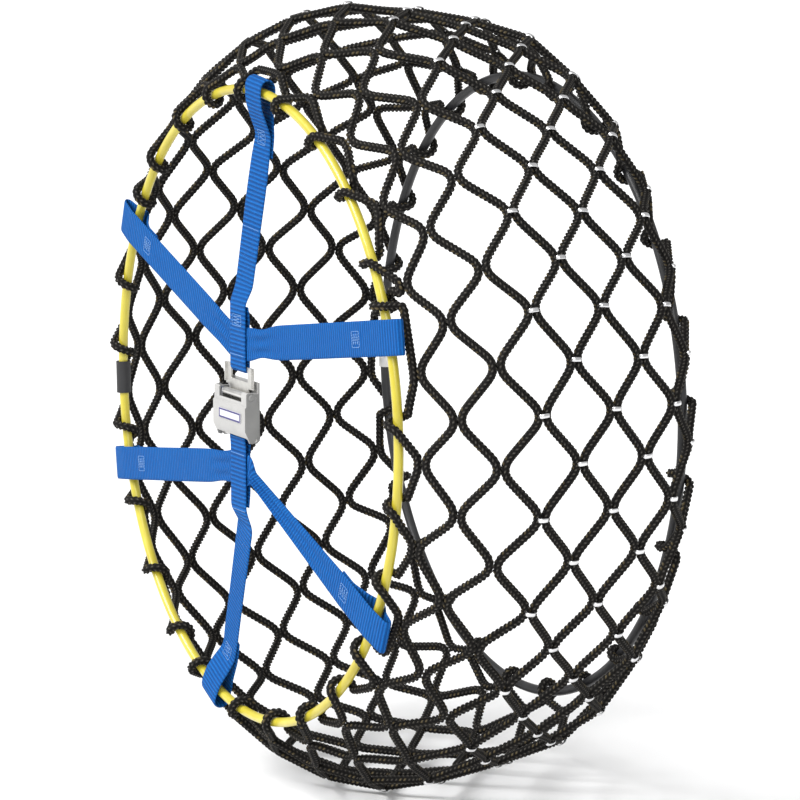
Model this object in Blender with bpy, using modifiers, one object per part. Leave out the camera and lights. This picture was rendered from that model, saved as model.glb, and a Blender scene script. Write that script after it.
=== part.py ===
"""Textile tyre snow net in its fitted shape: rope net, two hoops, webbing straps and a lift-cover latch.

Metres, +Z up. The wheel axle lies along Y, the outboard side faces -Y, and the origin is the centre
of the tyre that the net is fitted to.
"""

import math

import bmesh
import bpy
from mathutils import Matrix, Vector

# ---- driving dimensions -------------------------------------------------------------------------
GAP = 0.0003                 # clearance between touching pieces

MESHES_AROUND = 25           # diamonds round the tread
PITCH = math.tau / MESHES_AROUND
FIRST_KNOT = math.radians(-1.5)
ROPE_RADIUS = 0.0036
KNOT_SIDE_STEP = 0.0038      # half the distance between two ropes that run side by side
KNOT_HALF_LENGTH = 0.006     # half the length that they run side by side
WRAP_RADIUS = 0.0087         # rope centreline round a hoop
WRAP_HALF_LENGTH = 0.006

# knot rows across the tyre, outboard hoop to inboard hoop: distance along the axle, and radius
KNOT_ROWS = (
    (-0.1250, 0.2565),
    (-0.1140, 0.2750),
    (-0.0930, 0.2945),
    (-0.0645, 0.3105),
    (-0.0320, 0.3185),
    (0.0000, 0.3160),
    (0.0320, 0.3120),
    (0.0635, 0.3065),
    (0.0930, 0.2995),
    (0.1195, 0.2765),
    (0.1260, 0.2565),
)

HOOP_RADIUS = 0.2565
HOOP_THICKNESS = 0.0039      # radius of the coated cable
OUTER_HOOP_Y = KNOT_ROWS[0][0]
INNER_HOOP_Y = KNOT_ROWS[-1][0]
HOOP_POINTS = 90
OUTER_JOINT_ANGLE = math.radians(182.5)
INNER_JOINT_ANGLE = math.radians(180.0)
OUTER_JOINT_REACH = math.radians(3.1)
INNER_JOINT_REACH = math.radians(5.0)

WEBBING_WIDTH = 0.028
WEBBING_THICKNESS = 0.0016
LAYER_STEP = WEBBING_THICKNESS + 0.0005
STRAP_ANGLES = {             # where each strap end meets the outboard hoop
    "top": math.radians(86.5),
    "upper_left": math.radians(151.5),
    "left": math.radians(199.0),
    "bottom": math.radians(253.5),
    "lower_right": math.radians(327.5),
    "right": math.radians(20.0),
}
STRAP_REACH = math.radians(4.3)       # half the stretch of hoop that a strap end keeps for itself
STRAP_CORNER = math.radians(4.4)
OVER_STRAP = (-0.1168, 0.2725)        # where a rope passes over a strap end: along the axle, radius
OVER_INNER_JOINT = (0.1225, 0.2700)
UPPER_BAND_Z = 0.0528
LOWER_BAND_Z = -0.0500
BAND_BEND_HALF = 0.012       # half the stretch over which a band turns inside the vertical strap

TONGUE_Y = -0.1365           # mid plane of the tongue plate and of both bands
PLATE = 0.0015               # thickness of the tongue and base sheet
HINGE_Y = -0.1410
HINGE_Z = 0.0120
HINGE_PIN_RADIUS = 0.0015
ROLLER_RADIUS = 0.0029
ROLLER_HALF_LENGTH = 0.0185
WALL_INSIDE_X = 0.0265       # inner faces of the base's side walls
COVER_HALF_WIDTH = 0.0300
COVER_FRONT_Y = -0.1455
PANEL_FRONT_Y = -0.1467        # raised lower part of the cover's face
COVER_SHEET = 0.0013
COVER_CHEEK_SHEET = 0.0015
NOTCH_HALF_WIDTH = 0.0205
NOTCH_BOTTOM_Z = 0.0075
FLOOR_BACK_Y = -0.1325
FLOOR_FRONT_Y = -0.1338
LOWER_BAR_Z = -0.0230
LOWER_BAR_RADIUS = 0.0020
STRAP_BAR_LOW_Z = 0.0305
STRAP_BAR_HIGH_Z = 0.0345


# ---- scene, materials and small helpers ---------------------------------------------------------
def clear_objects():
    for item in list(bpy.data.objects):
        bpy.data.objects.remove(item, do_unlink=True)


def make_collection(name):
    collection = bpy.data.collections.new(name)
    bpy.context.scene.collection.children.link(collection)
    return collection


clear_objects()
PARTS = make_collection("tyre_snow_net")
CUTTERS = make_collection("cutters")


def make_material(name, colour, roughness, metallic=0.0):
    material = bpy.data.materials.new(name)
    material.use_nodes = True
    shader = material.node_tree.nodes["Principled BSDF"]
    shader.inputs["Base Color"].default_value = (*colour, 1.0)
    shader.inputs["Roughness"].default_value = roughness
    shader.inputs["Metallic"].default_value = metallic
    return material


CORD = make_material("black_braid", (0.022, 0.020, 0.018), 0.75)
YELLOW = make_material("yellow_coating", (0.83, 0.70, 0.08), 0.35)
DARK_CABLE = make_material("dark_coating", (0.03, 0.03, 0.03), 0.45)
BLUE = make_material("blue_webbing", (0.02, 0.16, 0.55), 0.65)
BLACK_PLASTIC = make_material("black_sleeve", (0.02, 0.02, 0.02), 0.5)
LIGHT_PAINT = make_material("light_grey_paint", (0.62, 0.62, 0.60), 0.4)
STEEL = make_material("bright_steel", (0.62, 0.60, 0.57), 0.3, 1.0)
SPRING_STEEL = make_material("spring_steel", (0.35, 0.35, 0.36), 0.35, 1.0)
LABEL = make_material("plain_label", (0.75, 0.75, 0.85), 0.5)


def add_part(name, data, material):
    part = bpy.data.objects.new(name, data)
    data.materials.append(material)
    PARTS.objects.link(part)
    return part


def add_cutter(name, data):
    cutter = bpy.data.objects.new(name, data)
    cutter.hide_render = True
    cutter.display_type = "WIRE"
    CUTTERS.objects.link(cutter)
    return cutter


def box_mesh(name, low, high):
    """A block between two corners."""
    low = Vector(low)
    high = Vector(high)
    mesh = bpy.data.meshes.new(name)
    shape = bmesh.new()
    bmesh.ops.create_cube(shape, size=1.0)
    size = high - low
    middle = (low + high) / 2
    bmesh.ops.scale(shape, vec=size, verts=shape.verts)
    bmesh.ops.translate(shape, vec=middle, verts=shape.verts)
    shape.to_mesh(mesh)
    shape.free()
    return mesh


def rod_mesh(name, start, end, radius, sides=16):
    """A round rod between two points."""
    start = Vector(start)
    end = Vector(end)
    along = end - start
    mesh = bpy.data.meshes.new(name)
    shape = bmesh.new()
    bmesh.ops.create_cone(
        shape, cap_ends=True, segments=sides, radius1=radius, radius2=radius, depth=along.length
    )
    turn = along.to_track_quat("Z", "X").to_matrix().to_4x4()
    bmesh.ops.transform(shape, matrix=Matrix.Translation((start + end) / 2) @ turn, verts=shape.verts)
    shape.to_mesh(mesh)
    shape.free()
    return mesh


def side_profile_mesh(name, outline, x_low, x_high):
    """A flat outline in the YZ plane, given as (y, z) points, as thick as the two x values say."""
    curve = bpy.data.curves.new(name + "_outline", "CURVE")
    curve.dimensions = "2D"
    curve.fill_mode = "BOTH"
    curve.extrude = (x_high - x_low) / 2
    spline = curve.splines.new("POLY")
    spline.points.add(len(outline) - 1)
    for point, (y, z) in zip(spline.points, outline):
        point.co = (y, z, 0.0, 1.0)
    spline.use_cyclic_u = True
    holder = bpy.data.objects.new(name + "_holder", curve)
    CUTTERS.objects.link(holder)
    holder.matrix_world = Matrix.Translation(((x_low + x_high) / 2, 0, 0)) @ Matrix(
        ((0, 0, 1, 0), (1, 0, 0, 0), (0, 1, 0, 0), (0, 0, 0, 1))
    )
    return welded_mesh(name, holder)


def welded_mesh(name, holder):
    """The evaluated mesh of a curve object, in world space, with its caps welded on."""
    bpy.context.view_layer.update()
    evaluated = holder.evaluated_get(bpy.context.evaluated_depsgraph_get())
    mesh = bpy.data.meshes.new_from_object(evaluated)
    mesh.name = name
    mesh.transform(holder.matrix_world)
    bpy.data.objects.remove(holder, do_unlink=True)
    shape = bmesh.new()
    shape.from_mesh(mesh)
    bmesh.ops.remove_doubles(shape, verts=shape.verts, dist=0.00001)
    bmesh.ops.recalc_face_normals(shape, faces=shape.faces)
    shape.to_mesh(mesh)
    shape.free()
    return mesh


def boolean(part, mesh, operation):
    """Join a mesh to a part, or cut it out of the part."""
    cutter = add_cutter(part.name + "_" + operation.lower(), mesh)
    modifier = part.modifiers.new(operation.lower(), "BOOLEAN")
    modifier.operation = operation
    modifier.solver = "EXACT"
    modifier.object = cutter


def turned_part(name, profile, origin, material, steps=20):
    """A turned piece on a vertical axis from (radius, height) points, top to bottom on the outside.

    The outline is closed unless it starts and ends on the axis.
    """
    mesh = bpy.data.meshes.new(name)
    shape = bmesh.new()
    corners = [shape.verts.new((radius, 0.0, height)) for radius, height in profile]
    following = corners[1:] if profile[0][0] == 0.0 else corners[1:] + corners[:1]
    for first, second in zip(corners, following):
        shape.edges.new((first, second))
    shape.to_mesh(mesh)
    shape.free()
    part = add_part(name, mesh, material)
    part.location = origin
    screw = part.modifiers.new("turn", "SCREW")
    screw.axis = "Z"
    screw.steps = steps
    screw.render_steps = steps
    screw.use_merge_vertices = True
    screw.merge_threshold = 0.00001
    return part


def tube_part(name, start, end, inner, outer, material, steps=16):
    """An open tube between two points."""
    start = Vector(start)
    end = Vector(end)
    along = end - start
    half = along.length / 2
    profile = ((outer, half), (outer, -half), (inner, -half), (inner, half))
    part = turned_part(name, profile, (start + end) / 2, material, steps)
    part.rotation_mode = "QUATERNION"
    part.rotation_quaternion = along.to_track_quat("Z", "X")
    return part


def line_part(name, points, radius, resolution, material, closed=False):
    """A rope, cable or wire along a list of points."""
    curve = bpy.data.curves.new(name, "CURVE")
    curve.dimensions = "3D"
    curve.bevel_depth = radius
    curve.bevel_resolution = resolution
    curve.use_fill_caps = True
    spline = curve.splines.new("POLY")
    spline.points.add(len(points) - 1)
    for point, position in zip(spline.points, points):
        point.co = (*position, 1.0)
    spline.use_cyclic_u = closed
    return add_part(name, curve, material)


def around_axle(angle, y, radius):
    return Vector((radius * math.cos(angle), y, radius * math.sin(angle)))


# ---- the rope net -------------------------------------------------------------------------------
def knot_angle(row, index):
    """Every second row is turned by half a mesh."""
    half_step = 0.5 if row % 2 == 0 else 0.0
    return FIRST_KNOT + (index + half_step) * PITCH


def across(row, side_step):
    """A point beside a knot row, moved across the tyre along the net's surface."""
    last = len(KNOT_ROWS) - 1
    before = Vector(KNOT_ROWS[max(row - 1, 0)])
    after = Vector(KNOT_ROWS[min(row + 1, last)])
    direction = (after - before).normalized()
    return Vector(KNOT_ROWS[row]) + direction * side_step


def knot_points(row, index, side_step):
    """Two points where a rope runs alongside the next rope, or beside a staple."""
    y, radius = across(row, side_step)
    half = KNOT_HALF_LENGTH / radius
    angle = knot_angle(row, index)
    return [around_axle(angle - half, y, radius), around_axle(angle + half, y, radius)]


def turned_from(angle, obstacle, least):
    """The same angle, or the nearest one that keeps its distance from an obstacle on the hoop."""
    apart = (angle - obstacle + math.pi) % math.tau - math.pi
    if abs(apart) >= least:
        return angle
    side = 1.0 if apart > 0 else -1.0
    return obstacle + side * least


def wrap_angle(row, index):
    """Where the net's edge loops over a hoop: beside the straps and the hoop's own joint."""
    angle = knot_angle(row, index)
    own_reach = (WRAP_HALF_LENGTH + ROPE_RADIUS) / HOOP_RADIUS + math.radians(0.1)
    if row == 0:
        for strap_angle in STRAP_ANGLES.values():
            angle = turned_from(angle, strap_angle, STRAP_REACH + own_reach)
        return turned_from(angle, OUTER_JOINT_ANGLE, OUTER_JOINT_REACH + own_reach)
    return turned_from(angle, INNER_JOINT_ANGLE, INNER_JOINT_REACH + own_reach)


def wrap_points(row, index):
    """A loop over a hoop: in on its outer face, under it, and out again on its inner face."""
    hoop_y = OUTER_HOOP_Y if row == 0 else INNER_HOOP_Y
    outward = -1.0 if row == 0 else 1.0
    middle = wrap_angle(row, index)
    half = WRAP_HALF_LENGTH / HOOP_RADIUS
    points = []
    for step in range(1, 8):
        turn = math.radians(45 * step)
        angle = middle + half * (step - 4) / 3
        y = hoop_y + outward * WRAP_RADIUS * math.sin(turn)
        points.append(around_axle(angle, y, HOOP_RADIUS + WRAP_RADIUS * math.cos(turn)))
    return points


def carried_over(row, knot, wrap):
    """A point that carries a rope over a strap end or a hoop joint between a knot and a wrap."""
    if row == 0:
        obstacles = list(STRAP_ANGLES.values())
        reach = STRAP_CORNER
        place = OVER_STRAP
    else:
        obstacles = [INNER_JOINT_ANGLE]
        reach = INNER_JOINT_REACH + math.radians(0.6)
        place = OVER_INNER_JOINT
    for obstacle in obstacles:
        side = 1.0 if (wrap - obstacle + math.pi) % math.tau > math.pi else -1.0
        corner = obstacle + side * reach
        to_corner = (corner - wrap + math.pi) % math.tau - math.pi
        to_knot = (knot - wrap + math.pi) % math.tau - math.pi
        if to_corner * to_knot > 0 and abs(to_corner) < abs(to_knot):
            return [around_axle(corner, *place)]
    return []


def hooked_points(row, index, before, after):
    """A wrap over a hoop together with what carries the rope to the knots before and after it."""
    wrap = wrap_angle(row, index)
    return carried_over(row, before, wrap) + wrap_points(row, index) + carried_over(row, after, wrap)


def net_cord_points(number):
    """One closed zigzag rope between knot row number and the next row."""
    last = len(KNOT_ROWS) - 1
    points = []
    for index in range(MESHES_AROUND):
        next_index = index if number % 2 else index + 1
        if number == 0:
            points += hooked_points(0, index, knot_angle(1, index), knot_angle(1, next_index))
        else:
            points += knot_points(number, index, KNOT_SIDE_STEP)
        if number + 1 == last:
            before = knot_angle(number, index)
            points += hooked_points(last, next_index, before, before + PITCH)
        else:
            points += knot_points(number + 1, next_index, -KNOT_SIDE_STEP)
    return points


def make_net():
    for number in range(len(KNOT_ROWS) - 1):
        name = "net_cord_%02d" % (number + 1)
        line_part(name, net_cord_points(number), ROPE_RADIUS, 0, CORD, closed=True)


# ---- the hoops and their joints -----------------------------------------------------------------
def hoop_points(y, joint_angle, half_opening):
    start = joint_angle + half_opening
    sweep = math.tau - 2 * half_opening
    return [around_axle(start + sweep * i / HOOP_POINTS, y, HOOP_RADIUS) for i in range(HOOP_POINTS + 1)]


def tube_on_hoop(name, angle, y, half_length, inner, outer, material):
    """A short straight tube threaded on a hoop, set on the mean radius of its curved stretch."""
    sagitta = HOOP_RADIUS * (1 - math.cos(half_length / HOOP_RADIUS))
    middle = around_axle(angle, y, HOOP_RADIUS - sagitta / 2)
    along = Vector((-math.sin(angle), 0.0, math.cos(angle))) * half_length
    return tube_part(name, middle - along, middle + along, inner, outer, material)


def make_outer_hoop():
    half_opening = math.radians(0.3)
    points = hoop_points(OUTER_HOOP_Y, OUTER_JOINT_ANGLE, half_opening)
    line_part("outer_hoop", points, HOOP_THICKNESS, 1, YELLOW)
    tube_on_hoop(
        "outer_hoop_ferrule", OUTER_JOINT_ANGLE, OUTER_HOOP_Y, 0.009, 0.0043, 0.0050, STEEL
    )
    tube_on_hoop(
        "outer_hoop_sleeve", OUTER_JOINT_ANGLE, OUTER_HOOP_Y, 0.0135, 0.0053, 0.0061, BLACK_PLASTIC
    )


JOINT_HALF = 0.0215          # half the straight stretch that holds the inner hoop's joint
JOINT_X = -math.sqrt(HOOP_RADIUS**2 - JOINT_HALF**2)
CABLE_END_Z = 0.0095
COLLAR_LOW, COLLAR_HIGH = -0.003, 0.009
SOCKET_LOW, SOCKET_HIGH = -0.002, 0.020
PLUG_LENGTH = 0.008


def make_inner_hoop():
    """The inboard hoop opens at a plug and socket, held by a sprung collar."""
    points = hoop_points(INNER_HOOP_Y, INNER_JOINT_ANGLE, math.asin(JOINT_HALF / HOOP_RADIUS))
    points.insert(0, Vector((JOINT_X, INNER_HOOP_Y, -CABLE_END_Z)))
    points.append(Vector((JOINT_X, INNER_HOOP_Y, CABLE_END_Z)))
    line_part("inner_hoop", points, HOOP_THICKNESS, 1, DARK_CABLE)
    origin = (JOINT_X, INNER_HOOP_Y, 0.0)
    bore = 0.0044
    shell = 0.0052
    flange = 0.0072
    socket_profile = (
        (flange, SOCKET_HIGH),
        (flange, SOCKET_HIGH - 0.002),
        (shell, SOCKET_HIGH - 0.002),
        (shell, SOCKET_LOW),
        (bore, SOCKET_LOW),
        (bore, SOCKET_HIGH),
    )
    turned_part("inner_hoop_socket", socket_profile, origin, STEEL)
    plug = 0.0038
    plug_top = SOCKET_LOW + PLUG_LENGTH
    tip_profile = (
        (0.0, plug_top),
        (plug - 0.0008, plug_top),
        (plug, plug_top - 0.0012),
        (plug, -0.0035),
        (shell, -0.0040),
        (shell, -0.0200),
        (bore, -0.0200),
        (bore, -0.0090),
        (0.0, -0.0090),
    )
    turned_part("inner_hoop_plug", tip_profile, origin, STEEL)
    collar_profile = (
        (0.0072, COLLAR_HIGH),
        (0.0072, COLLAR_LOW),
        (shell + GAP, COLLAR_LOW),
        (shell + GAP, COLLAR_HIGH),
    )
    turned_part("inner_lock_collar", collar_profile, origin, STEEL)
    make_collar_spring(origin)


def helix(radius, start, end, turns, points_per_turn=10):
    """Points of a coil on the Z axis."""
    count = int(turns * points_per_turn)
    return [
        Vector(
            (
                radius * math.cos(math.tau * turns * i / count),
                radius * math.sin(math.tau * turns * i / count),
                start + (end - start) * i / count,
            )
        )
        for i in range(count + 1)
    ]


def make_collar_spring(origin):
    wire = 0.00045
    low = COLLAR_HIGH + wire + GAP
    high = SOCKET_HIGH - 0.002 - wire - GAP
    coil = helix(0.0062, low, high, 4)
    line_part("collar_spring", [Vector(origin) + p for p in coil], wire, 0, SPRING_STEEL)


# ---- the webbing --------------------------------------------------------------------------------
def ribbon_part(name, stations, material):
    """A webbing strip through (centre point, direction across it) stations."""
    mesh = bpy.data.meshes.new(name)
    shape = bmesh.new()
    half = WEBBING_WIDTH / 2
    pairs = []
    for point, side in stations:
        edge = side.normalized() * half
        pairs.append((shape.verts.new(point - edge), shape.verts.new(point + edge)))
    for (a, b), (c, d) in zip(pairs, pairs[1:]):
        shape.faces.new((a, b, d, c))
    shape.to_mesh(mesh)
    shape.free()
    part = add_part(name, mesh, material)
    thicken = part.modifiers.new("thickness", "SOLIDIFY")
    thicken.thickness = WEBBING_THICKNESS
    thicken.offset = 0.0
    return part


FRONT_AT_HOOP_Y = -0.1316    # strap centreline where it passes in front of the hoop
BACK_AT_HOOP_Y = -0.1184
FOLD_REACH = 0.0055          # centre of the fold, beyond the hoop
TAIL_LENGTH = 0.052
STRAP_NECK = 0.035           # a vertical strap's stretch from the hoop's front to its sunken run
STRAP_NECK_Y = -0.1205
STRAP_STEP_Y = -0.1325       # where the sunken run meets the thicker stretch that is folded round the band


def hoop_loop(start, angle, start_y, neck=0.0, neck_y=FRONT_AT_HOOP_Y):
    """Stations from the end of the sewn tail, behind and over the hoop, and back to the start point.

    start is the (x, z) point that the strap comes from, and start_y its height there. A strap with a
    neck leaves the front of the hoop for neck_y before it runs straight to the start point.
    """
    hoop_point = Vector((HOOP_RADIUS * math.cos(angle), HOOP_RADIUS * math.sin(angle)))
    run = hoop_point - Vector(start)
    along = run.normalized()
    side = Vector((-along.y, 0.0, along.x))
    slope = (neck_y - start_y) / (run.length - neck)

    def front_y(reach):
        return neck_y + slope * min(reach + neck, 0.0)

    path = [
        (-TAIL_LENGTH, front_y(-TAIL_LENGTH) + LAYER_STEP),
        (-0.034, front_y(-0.034) + LAYER_STEP),
        (-0.018, (front_y(-0.018) + LAYER_STEP + BACK_AT_HOOP_Y) / 2 - 0.0008),
        (-0.007, BACK_AT_HOOP_Y - 0.0002),
        (0.000, BACK_AT_HOOP_Y),
    ]
    fold_radius = (BACK_AT_HOOP_Y - FRONT_AT_HOOP_Y) / 2
    for step in range(7):
        turn = math.pi * step / 6
        y = OUTER_HOOP_Y + fold_radius * math.cos(turn)
        path.append((FOLD_REACH + fold_radius * math.sin(turn), y))
    path.append((0.0, FRONT_AT_HOOP_Y))
    if neck:
        path += [(-0.012, FRONT_AT_HOOP_Y + 0.0016), (-neck, neck_y)]
    path.append((-run.length / 2, front_y(-run.length / 2)))
    stations = []
    for reach, y in path:
        spot = hoop_point + along * reach
        stations.append((Vector((spot.x, y, spot.y)), side))
    return stations


def vertical_strap(name, angle, bar_z, bar_radius, seam_end, downward):
    """A strap from the hoop to a bar of the latch, looped round it with a band between its layers."""
    direction = 1.0 if downward else -1.0
    front_y = TONGUE_Y - 0.0019
    back_y = TONGUE_Y + 0.0019
    layer_z = bar_z + direction * (seam_end - 0.020)
    end_z = bar_z + direction * seam_end
    start = (0.0, end_z + direction * 0.0057)
    stations = hoop_loop(start, angle, STRAP_STEP_Y, STRAP_NECK, STRAP_NECK_Y)
    across_x = stations[-1][1]
    straight = Vector((-direction, 0.0, 0.0))
    between = (across_x + straight).normalized()
    stations.append((Vector((0.0, STRAP_STEP_Y, start[1])), between))
    stations.append((Vector((0.0, front_y, end_z - direction * 0.0078)), between))
    stations.append((Vector((0.0, front_y, layer_z)), straight))
    near_bar = bar_z + direction * 0.007
    stations.append((Vector((0.0, front_y, near_bar)), straight))
    for step in range(7):
        turn = math.pi * step / 6
        y = TONGUE_Y - bar_radius * math.cos(turn)
        z = bar_z - direction * bar_radius * math.sin(turn)
        stations.append((Vector((0.0, y, z)), straight))
    stations.append((Vector((0.0, back_y, near_bar)), straight))
    stations.append((Vector((0.0, back_y, end_z - direction * 0.021)), straight))
    tail_y = front_y + LAYER_STEP + 0.0006
    stations.append((Vector((0.0, tail_y, end_z - direction * 0.010)), straight))
    return ribbon_part(name, stations, BLUE)


def band(name, left_angle, right_angle, height):
    """One band from hoop to hoop, bent where it passes inside a vertical strap's loop."""
    left = hoop_loop((-BAND_BEND_HALF, height), left_angle, TONGUE_Y)
    right = hoop_loop((BAND_BEND_HALF, height), right_angle, TONGUE_Y)
    left_side = left[-1][1]
    right_side = -right[-1][1]
    bend = []
    steps = 6
    for step in range(steps + 1):
        share = step / steps
        x = BAND_BEND_HALF * (2 * share - 1)
        bend.append((Vector((x, TONGUE_Y, height)), left_side.lerp(right_side, share)))
    right_back = [(point, -side) for point, side in reversed(right)]
    return ribbon_part(name, left + bend + right_back, BLUE)


def make_straps():
    vertical_strap("top_strap", STRAP_ANGLES["top"], 0.0308, 0.0019, 0.062, True)
    vertical_strap("bottom_strap", STRAP_ANGLES["bottom"], LOWER_BAR_Z, 0.0031, 0.0675, False)
    band("upper_band", STRAP_ANGLES["upper_left"], STRAP_ANGLES["right"], UPPER_BAND_Z)
    band("lower_band", STRAP_ANGLES["left"], STRAP_ANGLES["lower_right"], LOWER_BAND_Z)


# ---- the latch ----------------------------------------------------------------------------------
def make_base():
    """Channel-shaped base: a floor behind the tongue and two walls that carry the pins."""
    low = (-WALL_INSIDE_X - PLATE, FLOOR_FRONT_Y, -0.0170)
    high = (WALL_INSIDE_X + PLATE, FLOOR_BACK_Y, 0.0235)
    base = add_part("latch_base", box_mesh("latch_base", low, high), LIGHT_PAINT)
    wall_outline = (
        (FLOOR_BACK_Y, 0.0148),
        (-0.1415, 0.0148),
        (-0.1428, 0.0143),
        (-0.1437, 0.0125),
        (-0.1437, -0.0120),
        (-0.1400, -0.0190),
        (-0.1394, -0.0245),
        (-0.1380, -0.0258),
        (-0.1350, -0.0258),
        (FLOOR_BACK_Y, -0.0235),
    )
    for side in (-1, 1):
        inner = side * WALL_INSIDE_X
        outer = side * (WALL_INSIDE_X + PLATE)
        name = "base_wall_right" if side > 0 else "base_wall_left"
        wall = side_profile_mesh(name, wall_outline, min(inner, outer), max(inner, outer))
        boolean(base, wall, "UNION")
    reach = 0.040
    pin_hole = rod_mesh(
        "pin_hole", (-reach, HINGE_Y, HINGE_Z), (reach, HINGE_Y, HINGE_Z), HINGE_PIN_RADIUS + GAP
    )
    boolean(base, pin_hole, "DIFFERENCE")
    bar_hole = rod_mesh(
        "bar_hole", (-reach, TONGUE_Y, LOWER_BAR_Z), (reach, TONGUE_Y, LOWER_BAR_Z), LOWER_BAR_RADIUS + GAP
    )
    boolean(base, bar_hole, "DIFFERENCE")


def pin_part(name, y, z, radius, half_length, head_radius, head, material):
    """A headed pin across the latch, turned on its own axis."""
    end = half_length + head
    profile = (
        (0.0, end),
        (head_radius * 0.7, end),
        (head_radius, half_length + head / 2),
        (head_radius, half_length),
        (radius, half_length),
        (radius, -half_length),
        (head_radius, -half_length),
        (head_radius, -half_length - head / 2),
        (head_radius * 0.7, -end),
        (0.0, -end),
    )
    part = turned_part(name, profile, (0.0, y, z), material, 16)
    part.rotation_euler = (0.0, math.radians(90), 0.0)
    return part


def make_pins_and_roller():
    pin_part(
        "hinge_pin", HINGE_Y, HINGE_Z, HINGE_PIN_RADIUS, COVER_HALF_WIDTH + GAP, 0.0028, 0.0011, STEEL
    )
    end = Vector((WALL_INSIDE_X + PLATE, 0.0, 0.0))
    bar_centre = Vector((0.0, TONGUE_Y, LOWER_BAR_Z))
    bar = rod_mesh("lower_bar", bar_centre - end, bar_centre + end, LOWER_BAR_RADIUS)
    add_part("lower_bar", bar, STEEL)
    centre = Vector((0.0, HINGE_Y, HINGE_Z))
    half = Vector((ROLLER_HALF_LENGTH, 0.0, 0.0))
    bore = HINGE_PIN_RADIUS + GAP
    tube_part("hinge_roller", centre - half, centre + half, bore, ROLLER_RADIUS, STEEL)


def make_cover():
    """Lift cover: a shallow pan with a raised front panel, notched at the top for the roller."""
    outline = (
        (COVER_FRONT_Y, 0.0148),
        (COVER_FRONT_Y, 0.0048),
        (PANEL_FRONT_Y, 0.0036),
        (PANEL_FRONT_Y, -0.0152),
        (-0.1438, -0.0214),
        (-0.1425, -0.0250),
        (-0.1400, -0.0256),
        (-0.1372, -0.0235),
        (-0.1350, -0.0190),
        (-0.1345, -0.0130),
        (-0.1345, 0.0000),
        (-0.1352, 0.0085),
        (-0.1372, 0.0137),
        (-0.1400, 0.0160),
        (COVER_FRONT_Y + 0.0010, 0.0160),
    )
    mesh = side_profile_mesh("latch_cover", outline, -COVER_HALF_WIDTH, COVER_HALF_WIDTH)
    cover = bpy.data.objects.new("latch_cover", mesh)
    mesh.materials.append(LIGHT_PAINT)
    PARTS.objects.link(cover)
    move_origin_to_hinge(cover)
    inside_front = COVER_FRONT_Y + COVER_SHEET
    hollow = (
        (inside_front, 0.0300),
        (inside_front, -0.0150),
        (-0.1420, -0.0214),
        (-0.1500, -0.0214),
        (-0.1500, -0.0400),
        (-0.1250, -0.0400),
        (-0.1250, 0.0300),
    )
    inside = COVER_HALF_WIDTH - COVER_CHEEK_SHEET
    boolean(cover, side_profile_mesh("cover_hollow", hollow, -inside, inside), "DIFFERENCE")
    notch_low = (-NOTCH_HALF_WIDTH, COVER_FRONT_Y - 0.005, NOTCH_BOTTOM_Z)
    notch_high = (NOTCH_HALF_WIDTH, COVER_FRONT_Y + 0.005, 0.0300)
    boolean(cover, box_mesh("cover_notch", notch_low, notch_high), "DIFFERENCE")
    reach = 0.040
    hole = rod_mesh(
        "cover_hole", (-reach, HINGE_Y, HINGE_Z), (reach, HINGE_Y, HINGE_Z), HINGE_PIN_RADIUS + GAP
    )
    boolean(cover, hole, "DIFFERENCE")


def move_origin_to_hinge(part):
    """Set a moving piece's origin on the hinge axis without moving its shape."""
    hinge = Vector((0.0, HINGE_Y, HINGE_Z))
    part.data.transform(Matrix.Translation(-hinge))
    part.location = hinge


def make_pawl():
    """Tooth under the cover that drops into the tongue's window; its underside turns on the hinge."""
    back = COVER_FRONT_Y + COVER_SHEET + GAP
    tip_y = -0.1350
    tip_z = -0.0035
    radius = math.hypot(tip_y - HINGE_Y, tip_z - HINGE_Z)
    start = math.atan2(tip_z - HINGE_Z, tip_y - HINGE_Y)
    outline = [
        (back, 0.0010),
        (back + 0.0012, 0.0010),
        (back + 0.0012, -0.0008),
        (tip_y - 0.0010, -0.0008),
        (tip_y, -0.0018),
    ]
    for step in range(4):
        angle = start - math.radians(7) * step
        outline.append((HINGE_Y + radius * math.cos(angle), HINGE_Z + radius * math.sin(angle)))
    outline += [(back + 0.0012, -0.0065), (back + 0.0012, -0.0120), (back, -0.0120)]
    mesh = side_profile_mesh("latch_pawl", outline, -0.0055, 0.0055)
    pawl = bpy.data.objects.new("latch_pawl", mesh)
    mesh.materials.append(STEEL)
    PARTS.objects.link(pawl)
    move_origin_to_hinge(pawl)


def make_tongue():
    """Tongue plate: strap bar and turned flanges above, and a blade with the pawl's window below."""
    front = TONGUE_Y - PLATE / 2
    back = TONGUE_Y + PLATE / 2
    head = box_mesh("tongue_plate", (-0.0250, front, 0.0170), (0.0250, back, STRAP_BAR_HIGH_Z))
    tongue = add_part("tongue_plate", head, LIGHT_PAINT)
    blade = box_mesh("tongue_blade", (-0.0165, front, -0.0100), (0.0165, back, 0.0180))
    boolean(tongue, blade, "UNION")
    for side in (-1, 1):
        low_x = 0.0235 if side > 0 else -0.0250
        name = "tongue_flange_right" if side > 0 else "tongue_flange_left"
        flange = box_mesh(
            name, (low_x, -0.1388, 0.0190), (low_x + 0.0015, back, STRAP_BAR_HIGH_Z)
        )
        boolean(tongue, flange, "UNION")
    past = 0.002
    windows = (
        ("strap_slot", 0.0155, 0.0225, STRAP_BAR_LOW_Z),
        ("pawl_window", 0.0065, -0.0052, 0.0030),
    )
    for name, half_width, low_z, high_z in windows:
        cutter = box_mesh(name, (-half_width, front - past, low_z), (half_width, back + past, high_z))
        boolean(tongue, cutter, "DIFFERENCE")


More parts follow.
